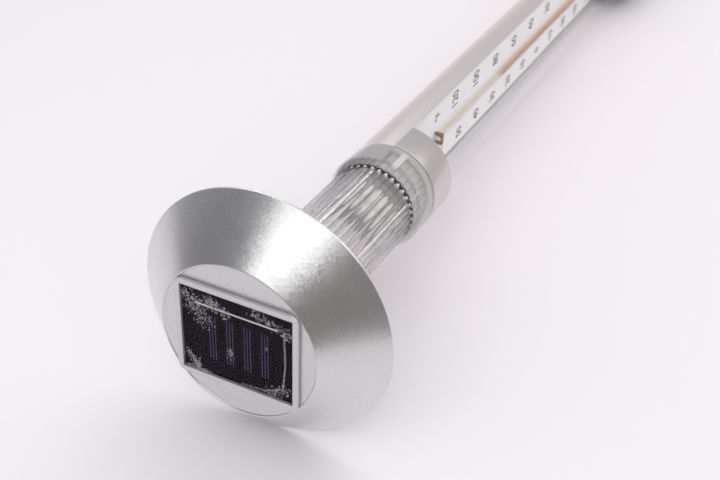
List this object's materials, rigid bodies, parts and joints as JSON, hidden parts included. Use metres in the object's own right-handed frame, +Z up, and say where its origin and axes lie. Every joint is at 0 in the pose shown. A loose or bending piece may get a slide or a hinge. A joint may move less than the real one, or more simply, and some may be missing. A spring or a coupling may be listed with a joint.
{
  "type": "solar garden light",
  "caption": "Ground-spike solar path light: conical lamp head with solar panel over a fluted clear lens, on a pole with a thermometer behind a clear window.",
  "frame": {"origin": "on the pole's axis at ground level, the underside of the spike's flange", "axes": "+Z up along the pole; +X the side the thermometer is read from, along the panel's long side"},
  "size_m": [0.127, 0.127, 0.7192],
  "materials": {
    "cap_metal": "fine metallic silver",
    "bezel_silver": "satin silver",
    "gasket_rubber": "matt",
    "board_black": "satin",
    "solar_cell": "dark blue",
    "ribbon_tin": "tinned",
    "panel_resin": "glossy, lightly scratched",
    "pad_foam": "matt",
    "base_plastic": "fine texture",
    "screw_steel": "zinc plated",
    "battery_wrap": "shrink sleeve",
    "contact_nickel": "nickel plated",
    "circuit_green": "solder mask",
    "chip_black": "moulded",
    "coil_body": "lacquered",
    "led_epoxy": "clear",
    "lead_red": "insulated lead",
    "switch_can": "tinned",
    "slider_black": "moulded",
    "lens_clear": "moulded clear plastic",
    "cup_cream": "satin",
    "sleeve_clear": "clear plastic",
    "band_silver": "satin silver",
    "joiner_grey": "satin",
    "tube_clear": "clear plastic",
    "shell_metal": "satin",
    "card_white": "printed card",
    "scale_ink": "printed",
    "strip_amber": "satin",
    "thermometer_glass": "clear",
    "spirit_red": "liquid",
    "clip_brown": "moulded",
    "socket_black": "fine texture",
    "spike_black": "fine texture"
  },
  "bodies": {
    "spike": {"ground_spike": "spike_black"},
    "pole": {"ground_socket": "socket_black", "clear_tube": "tube_clear", "half_shell": "shell_metal", "window_band": "band_silver", "lens_sleeve": "sleeve_clear", "tube_cap": "joiner_grey", "scale_card": "card_white", "backing_strip": "strip_amber", "capillary": "thermometer_glass", "spirit": "spirit_red", "capillary_clips": "clip_brown"},
    "lens_unit": {"fluted_lens": "lens_clear", "reflector_cup": "cup_cream"},
    "head": {"cap_shell": "cap_metal", "panel_bezel": "bezel_silver", "panel_gasket": "gasket_rubber", "solar_board": "board_black", "solar_cells": "solar_cell", "cell_ribbons": "ribbon_tin", "panel_resin": "panel_resin", "panel_pad": "pad_foam", "head_base": "base_plastic", "lens_seal": "gasket_rubber", "base_screws": "screw_steel", "board_screws": "screw_steel", "battery": "battery_wrap", "battery_contacts": "contact_nickel", "battery_spring": "contact_nickel", "switch_body": "switch_can", "circuit_board": "circuit_green", "driver_chip": "chip_black", "coil": "coil_body", "led": "led_epoxy", "led_leads": "ribbon_tin", "solar_leads": "lead_red", "battery_leads": "lead_red", "switch_leads": "lead_red"},
    "battery_lid": {"battery_door": "base_plastic"},
    "switch": {"switch_slider": "slider_black"}
  },
  "joints": [
    {"name": "pole_lift", "type": "slide", "parent": "spike", "child": "pole", "axis": [0, 0, 1], "range_m": [0, 0.02]},
    {"name": "lens_lift", "type": "slide", "parent": "pole", "child": "lens_unit", "axis": [0, 0, 1], "range_m": [0, 0.03]},
    {"name": "head_lift", "type": "slide", "parent": "lens_unit", "child": "head", "axis": [0, 0, 1], "range_m": [0, 0.03]},
    {"name": "battery_door_hinge", "type": "hinge", "parent": "head", "child": "battery_lid", "pos_m": [0, -0.0422, 0.52265], "axis": [-1, 0, 0], "range_deg": [0, 95]},
    {"name": "switch_slide", "type": "slide", "parent": "head", "child": "switch", "axis": [1, 0, 0], "range_m": [0, 0.002]}
  ]
}
